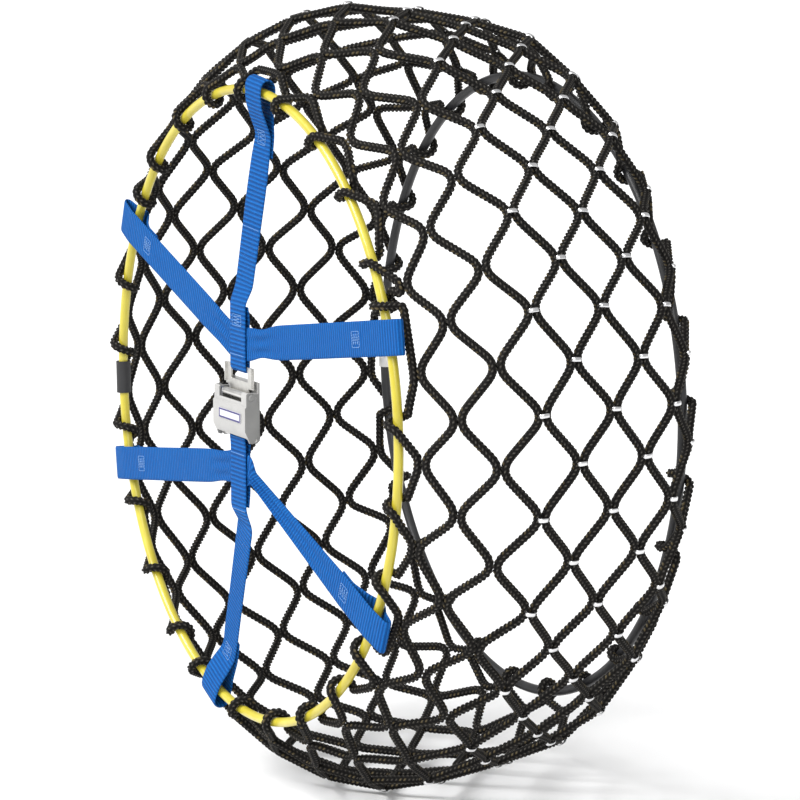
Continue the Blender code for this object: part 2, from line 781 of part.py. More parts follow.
def make_cover_spring():
    """Torsion spring on the hinge pin, beside the roller, with one leg on the base and one on the cover."""
    wire = 0.00045
    coil_radius = 0.0023
    low_x, high_x = -0.0240, -0.0200
    count = 28
    points = []
    for step in range(count + 1):
        turn = math.tau * 3.5 * step / count
        x = low_x + (high_x - low_x) * step / count
        points.append(
            Vector((x, HINGE_Y + coil_radius * math.cos(turn), HINGE_Z + coil_radius * math.sin(turn)))
        )
    base_leg = Vector((low_x, FLOOR_FRONT_Y - wire - GAP, 0.0010))
    cover_leg = Vector((high_x, COVER_FRONT_Y + COVER_SHEET + wire + GAP, 0.0020))
    line_part("cover_spring", [base_leg] + points + [cover_leg], wire, 0, SPRING_STEEL)


def make_label():
    """Blank plate on the cover's face."""
    low = (-0.0170, PANEL_FRONT_Y - GAP - 0.0006, -0.0092)
    high = (0.0225, PANEL_FRONT_Y - GAP, -0.0012)
    add_part("label_plate", box_mesh("label_plate", low, high), LABEL)


# ---- build --------------------------------------------------------------------------------------
make_net()
make_outer_hoop()
make_inner_hoop()
make_straps()
make_base()
make_pins_and_roller()
make_cover()
make_pawl()
make_tongue()
make_cover_spring()
make_label()
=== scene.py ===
"""Visual model of the textile tyre snow net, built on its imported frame."""

import math

import bmesh
import bpy
import numpy as np
from mathutils import Matrix, Vector


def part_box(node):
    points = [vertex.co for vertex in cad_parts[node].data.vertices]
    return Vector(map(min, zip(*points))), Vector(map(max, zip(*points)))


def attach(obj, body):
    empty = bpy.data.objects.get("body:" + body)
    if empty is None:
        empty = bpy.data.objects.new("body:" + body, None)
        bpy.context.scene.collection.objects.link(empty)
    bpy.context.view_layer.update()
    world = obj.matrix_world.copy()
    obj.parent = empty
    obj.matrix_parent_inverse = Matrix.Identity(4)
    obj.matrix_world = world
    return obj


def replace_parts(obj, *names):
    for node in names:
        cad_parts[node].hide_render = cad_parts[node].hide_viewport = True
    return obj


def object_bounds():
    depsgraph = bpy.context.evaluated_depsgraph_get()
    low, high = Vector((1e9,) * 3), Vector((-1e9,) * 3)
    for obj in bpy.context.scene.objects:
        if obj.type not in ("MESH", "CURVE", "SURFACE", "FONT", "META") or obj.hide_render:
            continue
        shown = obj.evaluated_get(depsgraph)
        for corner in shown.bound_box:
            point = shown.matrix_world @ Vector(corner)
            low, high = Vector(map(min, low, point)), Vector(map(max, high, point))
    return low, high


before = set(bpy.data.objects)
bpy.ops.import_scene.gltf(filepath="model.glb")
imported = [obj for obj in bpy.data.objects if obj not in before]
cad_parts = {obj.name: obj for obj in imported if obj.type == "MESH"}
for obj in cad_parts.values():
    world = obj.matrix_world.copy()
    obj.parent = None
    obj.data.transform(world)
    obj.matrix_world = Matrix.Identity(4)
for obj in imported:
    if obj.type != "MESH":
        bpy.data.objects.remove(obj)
cad_low, cad_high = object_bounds()

# ---- dimensions, metres, the same as those of the solids unless a comment says otherwise ---------
MESHES_AROUND = 25
PITCH = math.tau / MESHES_AROUND
FIRST_KNOT = math.radians(-1.5)
ROPE_RADIUS = 0.0036
PINCHED_SIDE_STEP = 0.0027       # the soft ropes are drawn closer together at a knot than the solids
EDGE_SIDE_STEP = 0.0033          # the same, for the two ropes that hook over the hoops
KNOT_HALF_LENGTH = 0.0048        # shorter than in the solids
WRAP_RADIUS = 0.0083             # tighter than in the solids
WRAP_HALF_LENGTH = 0.006
KNOT_ROWS = (
    (-0.1250, 0.2565),
    (-0.1140, 0.2750),
    (-0.0930, 0.2945),
    (-0.0645, 0.3105),
    (-0.0320, 0.3185),
    (0.0000, 0.3160),
    (0.0320, 0.3120),
    (0.0635, 0.3065),
    (0.0930, 0.2995),
    (0.1195, 0.2765),
    (0.1260, 0.2565),
)
STAPLED_ROWS = range(4, 10)
HOOP_RADIUS = 0.2565
CABLE_RADIUS = 0.0039
OUTER_HOOP_Y = KNOT_ROWS[0][0]
INNER_HOOP_Y = KNOT_ROWS[-1][0]
OUTER_JOINT_ANGLE = math.radians(182.5)
INNER_JOINT_ANGLE = math.radians(180.0)
OUTER_JOINT_REACH = math.radians(3.1)
INNER_JOINT_REACH = math.radians(5.0)
JOINT_HALF = 0.0215
CABLE_END_Z = 0.0095
STRAP_ANGLES = {
    "top": math.radians(86.5),
    "upper_left": math.radians(151.5),
    "left": math.radians(199.0),
    "bottom": math.radians(253.5),
    "lower_right": math.radians(327.5),
    "right": math.radians(20.0),
}
STRAP_REACH = math.radians(4.3)       # half the stretch of hoop that a strap end keeps for itself
STRAP_CORNER = math.radians(4.4)      # where a rope that passes over a strap end turns
OVER_STRAP = (-0.1168, 0.2725)        # and its distance along the axle and radius there
OVER_INNER_JOINT = (0.1225, 0.2700)
OVER_JOINT_GAP = math.radians(0.6)
WEBBING_WIDTH = 0.028
WEBBING_THICKNESS = 0.0016
LAYER_STEP = WEBBING_THICKNESS + 0.0005
LOOP_HALF_DEPTH = 0.0019         # half the distance between the two sides of a vertical strap's loop
UPPER_BAND_Z = 0.0528
LOWER_BAND_Z = -0.0500
BAND_BEND_HALF = 0.012
TONGUE_Y = -0.1365
LOWER_BAR_Z = -0.0230
FRONT_AT_HOOP_Y = -0.1316
BACK_AT_HOOP_Y = -0.1184
FOLD_REACH = 0.0055
TAIL_LENGTH = 0.052
STRAP_NECK = 0.035
STRAP_NECK_Y = -0.1205
STRAP_STEP_Y = -0.1325
BAR_RADIUS = {"top": 0.0019, "bottom": 0.0031}       # of a strap's bend round its bar
SEAM_END = {"top": 0.062, "bottom": 0.0675}          # from the bar to where a strap's fold is sewn shut
TONGUE_BAR_Z = 0.0308

# drawn only, not in the solids
KNOT_SHIFT = 0.0011              # how far a knot lies out of its even place, across the tyre
KNOT_TURN = 0.0012               # and round it
BAND_OVERHANG = 0.016            # the bands' folds reach out past the hoop
FLAT_FOLD_RADIUS = 0.0026        # and are pressed flat
FLAT_FOLD_Y = FRONT_AT_HOOP_Y + 0.0054
TURN_OUT = {"top": -0.11, "bottom": -0.04}           # how far the vertical straps face sideways
STITCH_LENGTH = 0.0021
STITCH_LIFT = 0.0009             # a stitch's height over the middle of the webbing
THREAD_RADIUS = 0.00032
TACK_FROM_HOOP = 0.040

# rope braid
ROPE_CORE = 0.0025
STRAND_RISE = 0.0014
BRAID_COLUMNS = 6
BRAID_PITCH = 0.0038
CHEVRON = 0.0011                 # how far a strand's edges lie before or behind its middle
SAMPLES_PER_STRAND = 4
ACROSS_STRAND = 3

# staples
STAPLE_HALF_WIDTH = 0.0018
STAPLE_HALF_THICKNESS = 0.0007
STAPLE_SHIFT = 0.001             # how far a staple sits off the middle of its knot
STAPLE_LEAN = 0.10               # and how far it leans, radians


# ---- materials ----------------------------------------------------------------------------------
class Paint:
    """A Principled material with short calls for the nodes that it uses."""

    def __init__(self, name, colour, roughness, metallic=0.0):
        self.material = bpy.data.materials.new(name)
        self.material.use_nodes = True
        self.nodes = self.material.node_tree.nodes
        self.links = self.material.node_tree.links
        self.shader = self.nodes["Principled BSDF"]
        self.shader.inputs["Base Color"].default_value = (*colour, 1.0)
        self.shader.inputs["Roughness"].default_value = roughness
        self.shader.inputs["Metallic"].default_value = metallic

    def node(self, kind, **settings):
        made = self.nodes.new("ShaderNode" + kind)
        for key, value in settings.items():
            setattr(made, key, value)
        return made

    def link(self, source, target):
        self.links.new(source, target)

    def object_space(self):
        return self.node("TexCoord").outputs["Object"]

    def surface_waves(self, map_name, direction, scale, distortion=0.0):
        """Bands over a piece's own surface map, which is in millimetres."""
        made = self.node("TexWave", wave_type="BANDS", bands_direction=direction, wave_profile="SIN")
        made.inputs["Scale"].default_value = scale
        made.inputs["Distortion"].default_value = distortion
        surface_map = self.node("UVMap", uv_map=map_name)
        self.link(surface_map.outputs["UV"], made.inputs["Vector"])
        return made

    def noise(self, scale, detail=3.0, vector=None):
        made = self.node("TexNoise")
        made.inputs["Scale"].default_value = scale
        made.inputs["Detail"].default_value = detail
        self.link(vector or self.object_space(), made.inputs["Vector"])
        return made.outputs["Fac"]

    def ramp(self, source, stops):
        made = self.node("ValToRGB")
        elements = made.color_ramp.elements
        while len(elements) < len(stops):
            elements.new(0.5)
        for element, (place, colour) in zip(elements, stops):
            element.position = place
            element.color = (*colour, 1.0)
        self.link(source, made.inputs["Fac"])
        return made.outputs["Color"]

    def mix(self, share, first, second, kind="MIX"):
        made = self.node("Mix", data_type="RGBA", blend_type=kind)
        for value, target in ((share, 0), (first, 6), (second, 7)):
            if isinstance(value, bpy.types.NodeSocket):
                self.link(value, made.inputs[target])
            elif target == 0:
                made.inputs[target].default_value = value
            else:
                made.inputs[target].default_value = (*value, 1.0)
        return made.outputs[2]

    def maths(self, operation, first, second=0.0):
        made = self.node("Math", operation=operation)
        for value, target in ((first, 0), (second, 1)):
            if isinstance(value, bpy.types.NodeSocket):
                self.link(value, made.inputs[target])
            else:
                made.inputs[target].default_value = value
        return made.outputs[0]

    def spread(self, source, low, high):
        """A 0 to 1 value spread over another range."""
        made = self.node("MapRange")
        made.inputs["To Min"].default_value = low
        made.inputs["To Max"].default_value = high
        self.link(source, made.inputs["Value"])
        return made.outputs["Result"]

    def bump(self, height, distance, strength=1.0, onto=None):
        made = self.node("Bump")
        made.inputs["Distance"].default_value = distance
        made.inputs["Strength"].default_value = strength
        self.link(height, made.inputs["Height"])
        if onto is not None:
            self.link(onto, made.inputs["Normal"])
        return made.outputs["Normal"]

    def finish(self, colour=None, roughness=None, normal=None):
        for value, name in ((colour, "Base Color"), (roughness, "Roughness"), (normal, "Normal")):
            if value is not None:
                self.link(value, self.shader.inputs[name])
        return self.material


def rope_material():
    """Black braided cord: painted highlight on the strand tops and painted shade in the grooves between
    them, fine yarns and a gold tracer.
    """
    paint = Paint("braided_cord", (0.012, 0.011, 0.010), 0.62)
    paint.shader.inputs["Specular IOR Level"].default_value = 0.22
    strand = paint.node("Attribute", attribute_name="strand").outputs["Fac"]
    tracer = paint.node("Attribute", attribute_name="tracer").outputs["Fac"]
    blotch = paint.noise(38.0, 2.0)
    # the strand-height ramp is painted light: near-black valleys are painted shade between strands, the
    # light crest a painted highlight on their tops
    groove_shade, flank, shoulder = (0.0012, 0.0011, 0.001), (0.006, 0.0055, 0.005), (0.016, 0.0145, 0.0125)
    crest_highlight = (0.175, 0.160, 0.135)
    top = paint.ramp(strand, ((0.15, groove_shade), (0.5, flank), (0.8, shoulder), (1.0, crest_highlight)))
    shade = paint.mix(paint.spread(blotch, 0.0, 0.4), top, (0.016, 0.0135, 0.011))
    colour = paint.mix(paint.maths("MULTIPLY", tracer, 0.55), shade, (0.16, 0.12, 0.05))
    yarn = paint.surface_waves("braid", "DIAGONAL", 0.55, 1.5)
    rough = paint.spread(strand, 0.9, 0.55)
    return paint.finish(colour, rough, paint.bump(yarn.outputs["Fac"], 0.00025, 0.6))


def webbing_material():
    """Blue polyester webbing with ribs across it, painted highlight on the rib tops, painted shade in the
    grooves between them, and faded patches.
    """
    paint = Paint("blue_webbing", (0.005, 0.10, 0.36), 0.65)
    paint.shader.inputs["Specular IOR Level"].default_value = 0.12
    rib = paint.surface_waves("webbing", "Y", 0.09, 0.35)
    rib.inputs["Detail"].default_value = 1.0
    yarn = paint.surface_waves("webbing", "X", 0.45, 1.2)
    # gap is painted shade in the rib grooves, crest a painted highlight on the rib tops
    gap, flank, crest_highlight = (0.0025, 0.052, 0.22), (0.004, 0.088, 0.34), (0.008, 0.130, 0.45)
    rib_light_and_shade = paint.ramp(rib.outputs["Fac"], ((0.05, gap), (0.4, flank), (0.9, crest_highlight)))
    patches = paint.spread(paint.noise(16.0, 3.0), 0.0, 0.35)
    faded = paint.mix(patches, rib_light_and_shade, (0.010, 0.17, 0.52))
    fine = paint.noise(900.0, 2.0)
    fleck = paint.ramp(fine, ((0.3, (0.35, 0.4, 0.5)), (0.7, (1.0, 1.0, 1.0))))
    colour = paint.mix(0.45, faded, fleck, "MULTIPLY")
    bumpy = paint.bump(rib.outputs["Fac"], 0.0009, 1.0)
    bumpy = paint.bump(yarn.outputs["Fac"], 0.00015, 0.6, bumpy)
    return paint.finish(colour, paint.spread(fine, 0.55, 0.8), bumpy)


def thread_material():
    paint = Paint("light_blue_thread", (0.22, 0.42, 0.80), 0.5)
    twist = paint.noise(1600.0, 1.0)
    colour = paint.ramp(twist, ((0.3, (0.07, 0.20, 0.50)), (0.7, (0.20, 0.38, 0.66))))
    return paint.finish(colour, None, paint.bump(twist, 0.0001, 0.5))


def yellow_material():
    """Glossy yellow cable coating, slightly uneven where the cable's lay shows through."""
    paint = Paint("yellow_coating", (0.55, 0.47, 0.04), 0.3)
    paint.shader.inputs["Coat Weight"].default_value = 0.5
    paint.shader.inputs["Coat Roughness"].default_value = 0.12
    cloud = paint.noise(30.0, 3.0)
    colour = paint.ramp(cloud, ((0.3, (0.50, 0.41, 0.022)), (0.7, (0.60, 0.52, 0.055))))
    scuff = paint.noise(260.0, 4.0)
    lay = paint.surface_waves("cable", "DIAGONAL", 0.06)
    bumpy = paint.bump(lay.outputs["Fac"], 0.0002, 0.35)
    bumpy = paint.bump(scuff, 0.0001, 0.3, bumpy)
    return paint.finish(colour, paint.spread(scuff, 0.2, 0.5), bumpy)


def dark_plastic(name, colour, roughness):
    paint = Paint(name, colour, roughness)
    grain = paint.noise(700.0, 3.0)
    cloud = paint.noise(40.0, 3.0)
    brighter = tuple(2.2 * channel for channel in colour)
    tint = paint.ramp(cloud, ((0.3, colour), (0.75, brighter)))
    rough = paint.spread(grain, roughness - 0.1, roughness + 0.15)
    return paint.finish(tint, rough, paint.bump(grain, 0.0001, 0.35))


def painted_material(name, colour, roughness):
    """Powder paint: fine peel, faint dirt and a lighter colour on sharp edges."""
    paint = Paint(name, colour, roughness)
    peel = paint.noise(900.0, 2.0)
    cloud = paint.noise(55.0, 4.0)
    darker = tuple(0.86 * channel for channel in colour)
    tint = paint.ramp(cloud, ((0.32, darker), (0.62, colour)))
    edge = paint.node("NewGeometry").outputs["Pointiness"]
    # lighter where the surface is sharply convex
    sharp_edge_share = paint.ramp(edge, ((0.52, (0.0, 0.0, 0.0)), (0.60, (1.0, 1.0, 1.0))))
    brighter = tuple(min(1.0, 1.2 * channel) for channel in colour)
    tint = paint.mix(paint.maths("MULTIPLY", sharp_edge_share, 0.35), tint, brighter)
    rough = paint.spread(peel, roughness - 0.06, roughness + 0.1)
    return paint.finish(tint, rough, paint.bump(peel, 0.00006, 0.35))


def metal_material(name, colour, roughness):
    """Plated or brushed steel with fine streaks and smudges."""
    paint = Paint(name, colour, roughness, 1.0)
    coordinates = paint.node("Mapping")
    coordinates.inputs["Scale"].default_value = (60.0, 900.0, 900.0)
    paint.link(paint.object_space(), coordinates.inputs["Vector"])
    streak = paint.noise(1.0, 4.0, coordinates.outputs["Vector"])
    smudge = paint.noise(120.0, 3.0)
    darker = tuple(0.8 * channel for channel in colour)
    tint = paint.ramp(smudge, ((0.3, darker), (0.6, colour)))
    rough = paint.spread(smudge, roughness - 0.05, roughness + 0.15)
    return paint.finish(tint, rough, paint.bump(streak, 0.00004, 0.4))


ROPE = rope_material()
WEBBING = webbing_material()
THREAD = thread_material()
YELLOW = yellow_material()
BLACK_CABLE = dark_plastic("black_coating", (0.012, 0.012, 0.013), 0.38)
BLACK_SLEEVE = dark_plastic("black_sleeve", (0.010, 0.010, 0.011), 0.5)
PAINT = painted_material("light_grey_paint", (0.41, 0.405, 0.395), 0.4)
# darker grey: painted shade for the latch's side faces and the hinge pin
CHEEK_PAINTED_SHADE = painted_material("cheek_painted_shade", (0.24, 0.24, 0.235), 0.5)
SILVER = metal_material("plated_steel", (0.86, 0.86, 0.87), 0.22)
STEEL = metal_material("brushed_steel", (0.72, 0.71, 0.69), 0.3)
ZINC = metal_material("zinc_plate", (0.66, 0.65, 0.62), 0.36)
SPRING_STEEL = metal_material("spring_wire", (0.40, 0.40, 0.42), 0.28)
LABEL_WHITE = painted_material("label_white", (0.60, 0.60, 0.66), 0.4)
LABEL_BLUE = painted_material("label_border", (0.020, 0.014, 0.13), 0.4)


# ---- mesh helpers -------------------------------------------------------------------------------
def linked(name, data):
    """A new object in the scene that holds a mesh, a light or a camera."""
    piece = bpy.data.objects.new(name, data)
    bpy.context.scene.collection.objects.link(piece)
    return piece


def mesh_piece(name, vertices, faces, material, body="net", smooth=True):
    """A piece from points and faces, riding on a body."""
    mesh = bpy.data.meshes.new(name)
    mesh.from_pydata(np.asarray(vertices).tolist(), [], faces)
    mesh.materials.append(material)
    if smooth:
        mesh.shade_smooth()
    piece = linked(name, mesh)
    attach(piece, body)
    return piece


def set_surface_map(piece, name, coordinates):
    """Write a surface map from one (u, v) pair per face corner. End faces come last and get none."""
    layer = piece.data.uv_layers.new(name=name)
    given = np.asarray(coordinates).reshape(-1, 2)
    corners = np.zeros((len(piece.data.loops), 2), np.float32)
    corners[: len(given)] = given
    layer.data.foreach_set("uv", corners.ravel())


def set_value(piece, name, values):
    attribute = piece.data.attributes.new(name, "FLOAT", "POINT")
    attribute.data.foreach_set("value", np.asarray(values, np.float32).ravel())


def resampled(points, step, closed):
    """The same line with evenly spaced points."""
    line = np.asarray(points, float)
    if closed:
        line = np.vstack([line, line[:1]])
    lengths = np.r_[0.0, np.cumsum(np.linalg.norm(np.diff(line, axis=0), axis=1))]
    count = max(2, int(round(lengths[-1] / step)))
    if closed:
        places = np.arange(count) * lengths[-1] / count
    else:
        places = np.linspace(0.0, lengths[-1], count + 1)
    return np.stack([np.interp(places, lengths, line[:, axis]) for axis in range(3)], axis=1)


def rounded(line, passes, closed):
    """Corners rounded off by repeated averaging with both neighbours."""
    line = line.copy()
    for _ in range(passes):
        before = np.roll(line, 1, axis=0)
        after = np.roll(line, -1, axis=0)
        eased = 0.25 * before + 0.5 * line + 0.25 * after
        if not closed:
            eased[0] = line[0]
            eased[-1] = line[-1]
        line = eased
    return line


def line_axes(line, closed):
    """Tangents and two square directions that turn as little as possible along a line."""
    if closed:
        tangents = np.roll(line, -1, axis=0) - np.roll(line, 1, axis=0)
    else:
        tangents = np.gradient(line, axis=0)
    tangents /= np.linalg.norm(tangents, axis=1)[:, None]
    outward = line[0] * (1.0, 0.0, 1.0)
    if np.linalg.norm(outward) < 0.01:
        outward = np.array((0.0, 0.0, 1.0))
    current = outward - np.dot(outward, tangents[0]) * tangents[0]
    current /= np.linalg.norm(current)
    first = np.empty_like(line)
    for index, tangent in enumerate(tangents):
        current = current - np.dot(current, tangent) * tangent
        current /= np.linalg.norm(current)
        first[index] = current
    second = np.cross(tangents, first)
    if closed:
        last = first[-1] - np.dot(first[-1], tangents[0]) * tangents[0]
        twist = math.atan2(np.dot(last, second[0]), np.dot(last, first[0]))
        turn = -twist * np.arange(len(line)) / len(line)
        cosine = np.cos(turn)[:, None]
        sine = np.sin(turn)[:, None]
        first, second = first * cosine + second * sine, second * cosine - first * sine
    return tangents, first, second


def grid_faces(rows, columns, closed_rows):
    """Quads over rows of rings of vertices, and the row and column of each face corner."""
    row = np.arange(rows if closed_rows else rows - 1)
    row, column = (grid.ravel() for grid in np.meshgrid(row, np.arange(columns), indexing="ij"))
    corner_rows = np.stack([row, row, row + 1, row + 1], axis=1)
    corner_columns = np.stack([column, column + 1, column + 1, column], axis=1)
    faces = (corner_rows % rows) * columns + corner_columns % columns
    return faces, corner_rows, corner_columns


def add_tube_faces(faces, base, rings, sides):
    """Faces over a run of rings whose first point is number base, closed at both ends."""
    for ring in range(rings - 1):
        for side in range(sides):
            a = base + ring * sides + side
            b = base + ring * sides + (side + 1) % sides
            faces.append((a, b, b + sides, a + sides))
    faces.append(tuple(base + side for side in range(sides)))
    faces.append(tuple(base + (rings - 1) * sides + side for side in reversed(range(sides))))


def cable(name, line, material):
    """A smooth round cable along an open line, with flat ends."""
    sides = 18
    _, first, second = line_axes(line, False)
    angle = np.arange(sides) * math.tau / sides
    ring = np.cos(angle)[None, :, None] * first[:, None] + np.sin(angle)[None, :, None] * second[:, None]
    vertices = (line[:, None] + ring * CABLE_RADIUS).reshape(-1, 3)
    faces, rows, columns = grid_faces(len(line), sides, False)
    all_faces = faces[:, ::-1].tolist()
    all_faces.append(list(range(sides)))
    all_faces.append(list(range(len(vertices) - 1, len(vertices) - 1 - sides, -1)))
    piece = mesh_piece(name, vertices, all_faces, material)
    step = np.linalg.norm(line[1] - line[0]) * 1000
    around = math.tau * CABLE_RADIUS * 1000 / sides
    set_surface_map(piece, "cable", np.stack([columns[:, ::-1] * around, rows[:, ::-1] * step], axis=2))
    fix_normals(piece)
    return piece


def fix_normals(piece):
    shape = bmesh.new()
    shape.from_mesh(piece.data)
    bmesh.ops.recalc_face_normals(shape, faces=shape.faces)
    shape.to_mesh(piece.data)
    shape.free()


# ---- the net's route ----------------------------------------------------------------------------
def around_axle(angle, y, radius):
    return (radius * math.cos(angle), y, radius * math.sin(angle))


def wobble(row, index, seed):
    """A small fixed unevenness of hand-stretched meshes."""
    value = math.sin(12.9898 * (row + 1) + 78.233 * (index % MESHES_AROUND + 1) + 37.7 * seed) * 43758.5453
    return 2.0 * (value - math.floor(value)) - 1.0


def knot_angle(row, index):
    half_step = 0.5 if row % 2 == 0 else 0.0
    return FIRST_KNOT + (index + half_step) * PITCH


def knot_place(row, index):
    """Angle, distance along the axle and radius of a knot, and the direction across the tyre."""
    last = len(KNOT_ROWS) - 1
    before = np.array(KNOT_ROWS[max(row - 1, 0)])
    after = np.array(KNOT_ROWS[min(row + 1, last)])
    direction = (after - before) / np.linalg.norm(after - before)
    place = np.array(KNOT_ROWS[row]) + direction * KNOT_SHIFT * wobble(row, index, 1)
    angle = knot_angle(row, index) + KNOT_TURN * wobble(row, index, 2) / KNOT_ROWS[row][1]
    return angle, place, direction


def knot_points(row, index, side_step):
    angle, place, direction = knot_place(row, index)
    y, radius = place + direction * side_step
    half = KNOT_HALF_LENGTH / radius
    return [around_axle(angle - half, y, radius), around_axle(angle + half, y, radius)]


def apart(first, second):
    """The signed angle from the second to the first."""
    return (first - second + math.pi) % math.tau - math.pi


def turned_from(angle, obstacle, least):
    gap = apart(angle, obstacle)
    if abs(gap) >= least:
        return angle
    return obstacle + math.copysign(least, gap)


def wrap_angle(row, index):
    angle = knot_angle(row, index)
    own_reach = (WRAP_HALF_LENGTH + ROPE_RADIUS) / HOOP_RADIUS + math.radians(0.1)
    if row == 0:
        for strap_angle in STRAP_ANGLES.values():
            angle = turned_from(angle, strap_angle, STRAP_REACH + own_reach)
        return turned_from(angle, OUTER_JOINT_ANGLE, OUTER_JOINT_REACH + own_reach)
    return turned_from(angle, INNER_JOINT_ANGLE, INNER_JOINT_REACH + own_reach)


def wrap_points(row, index):
    """A loop over a hoop: in on its outer face, under it, and out again on its inner face."""
    hoop_y = OUTER_HOOP_Y if row == 0 else INNER_HOOP_Y
    outward = -1.0 if row == 0 else 1.0
    middle = wrap_angle(row, index)
    half = WRAP_HALF_LENGTH / HOOP_RADIUS
    points = []
    for step in range(15):
        turn = math.radians(45 + 270 * step / 14)
        angle = middle + half * (step - 7) / 7
        y = hoop_y + outward * WRAP_RADIUS * math.sin(turn)
        points.append(around_axle(angle, y, HOOP_RADIUS + WRAP_RADIUS * math.cos(turn)))
    return points


def carried_over(row, knot, wrap):
    """A point that carries a rope over a strap end or a hoop joint between a knot and a wrap."""
    if row == 0:
        obstacles = list(STRAP_ANGLES.values())
        reach = STRAP_CORNER
        place = OVER_STRAP
    else:
        obstacles = [INNER_JOINT_ANGLE]
        reach = INNER_JOINT_REACH + OVER_JOINT_GAP
        place = OVER_INNER_JOINT
    for obstacle in obstacles:
        side = 1.0 if apart(wrap, obstacle) > 0 else -1.0
        corner = obstacle + side * reach
        to_corner = apart(corner, wrap)
        to_knot = apart(knot, wrap)
        if to_corner * to_knot > 0 and abs(to_corner) < abs(to_knot):
            return [around_axle(corner, *place)]
    return []


def hooked_points(row, index, before, after):
    wrap = wrap_angle(row, index)
    return carried_over(row, before, wrap) + wrap_points(row, index) + carried_over(row, after, wrap)


def is_edge_rope(number):
    return number in (0, len(KNOT_ROWS) - 2)


def knot_step(number):
    return EDGE_SIDE_STEP if is_edge_rope(number) else PINCHED_SIDE_STEP


def net_cord_points(number):
    """One closed zigzag rope between knot row number and the next row."""
    last = len(KNOT_ROWS) - 1
    points = []
    for index in range(MESHES_AROUND):
        next_index = index if number % 2 else index + 1
        if number == 0:
            points += hooked_points(0, index, knot_angle(1, index), knot_angle(1, next_index))
        else:
            points += knot_points(number, index, knot_step(number))
        if number + 1 == last:
            before = knot_angle(number, index)
            points += hooked_points(last, next_index, before, before + PITCH)
        else:
            points += knot_points(number + 1, next_index, -knot_step(number))
    return points


# ---- ropes --------------------------------------------------------------------------------------
def braided_rope(name, points, easing):
    """A rope whose surface is a plait: columns of slanting strands that lean in turn left and right."""
    rough_step = BRAID_PITCH / SAMPLES_PER_STRAND
    line = rounded(resampled(points, rough_step, True), easing, True)
    length = np.linalg.norm(line - np.roll(line, 1, axis=0), axis=1).sum()
    strands = int(round(length / BRAID_PITCH))
    rows = strands * SAMPLES_PER_STRAND
    line = resampled(line, length / rows, True)[:rows]
    tangents, first, second = line_axes(line, True)
    sides = BRAID_COLUMNS * ACROSS_STRAND
    side = np.arange(sides)
    column = side // ACROSS_STRAND
    slant = np.where(column % 2 == 0, 1.0, -1.0)
    within = 2.0 * (side % ACROSS_STRAND) / ACROSS_STRAND - 1.0
    row = np.arange(rows)
    phase = (row[:, None] / SAMPLES_PER_STRAND + 0.5 * (column % 2)[None, :]) % 1.0
    hump = np.abs(np.sin(math.pi * phase)) ** 0.7
    height = hump * (1.0 - within**2)[None, :] ** 0.7
    radius = ROPE_CORE + STRAND_RISE * height
    angle = side * math.tau / sides
    ring = np.cos(angle)[None, :, None] * first[:, None] + np.sin(angle)[None, :, None] * second[:, None]
    shift = -slant * within * CHEVRON
    vertices = line[:, None] + ring * radius[:, :, None] + tangents[:, None] * shift[None, :, None]
    faces, corner_rows, corner_columns = grid_faces(rows, sides, True)
    piece = mesh_piece(name, vertices.reshape(-1, 3), faces.tolist(), ROPE)
    coordinates = np.stack([corner_columns * 1.25, corner_rows * rough_step * 1000], axis=2)
    set_surface_map(piece, "braid", coordinates)
    set_value(piece, "strand", height)
    strand_number = np.floor(row[:, None] / SAMPLES_PER_STRAND + 0.5 * (column % 2)[None, :])
    chance = np.abs(np.sin(strand_number * 91.7 + column[None, :] * 17.3)) ** 0.5
    marked = (column[None, :] % 3 == 1) & (chance > 0.90)
    tracer = np.where(marked & (phase > 0.2) & (phase < 0.55) & (np.abs(within)[None, :] < 0.5), 1.0, 0.0)
    set_value(piece, "tracer", tracer)
    return piece


def make_ropes():
    for number in range(len(KNOT_ROWS) - 1):
        easing = 12 if is_edge_rope(number) else 48
        rope = braided_rope("rope_%02d" % (number + 1), net_cord_points(number), easing)
        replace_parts(rope, "net_cord_%02d" % (number + 1))


def staple_axes(row, index):
    """The middle of a knot and the directions across, along and out of a staple on it."""
    place_angle, place, direction = knot_place(row, index)
    outward = np.array((math.cos(place_angle), 0.0, math.sin(place_angle)))
    tangent = np.array((-math.sin(place_angle), 0.0, math.cos(place_angle)))
    across = np.array((0.0, direction[0], 0.0)) + outward * direction[1]
    normal = np.cross(tangent, across)
    normal *= math.copysign(1.0, float(np.dot(normal, outward)))
    middle = np.array(around_axle(place_angle, place[0], place[1]))
    middle = middle + tangent * STAPLE_SHIFT * wobble(row, index, 3)
    lean = STAPLE_LEAN * wobble(row, index, 4)
    leaning_across = across * math.cos(lean) + tangent * math.sin(lean)
    leaning_along = tangent * math.cos(lean) - across * math.sin(lean)
    return middle, leaning_across, leaning_along, normal


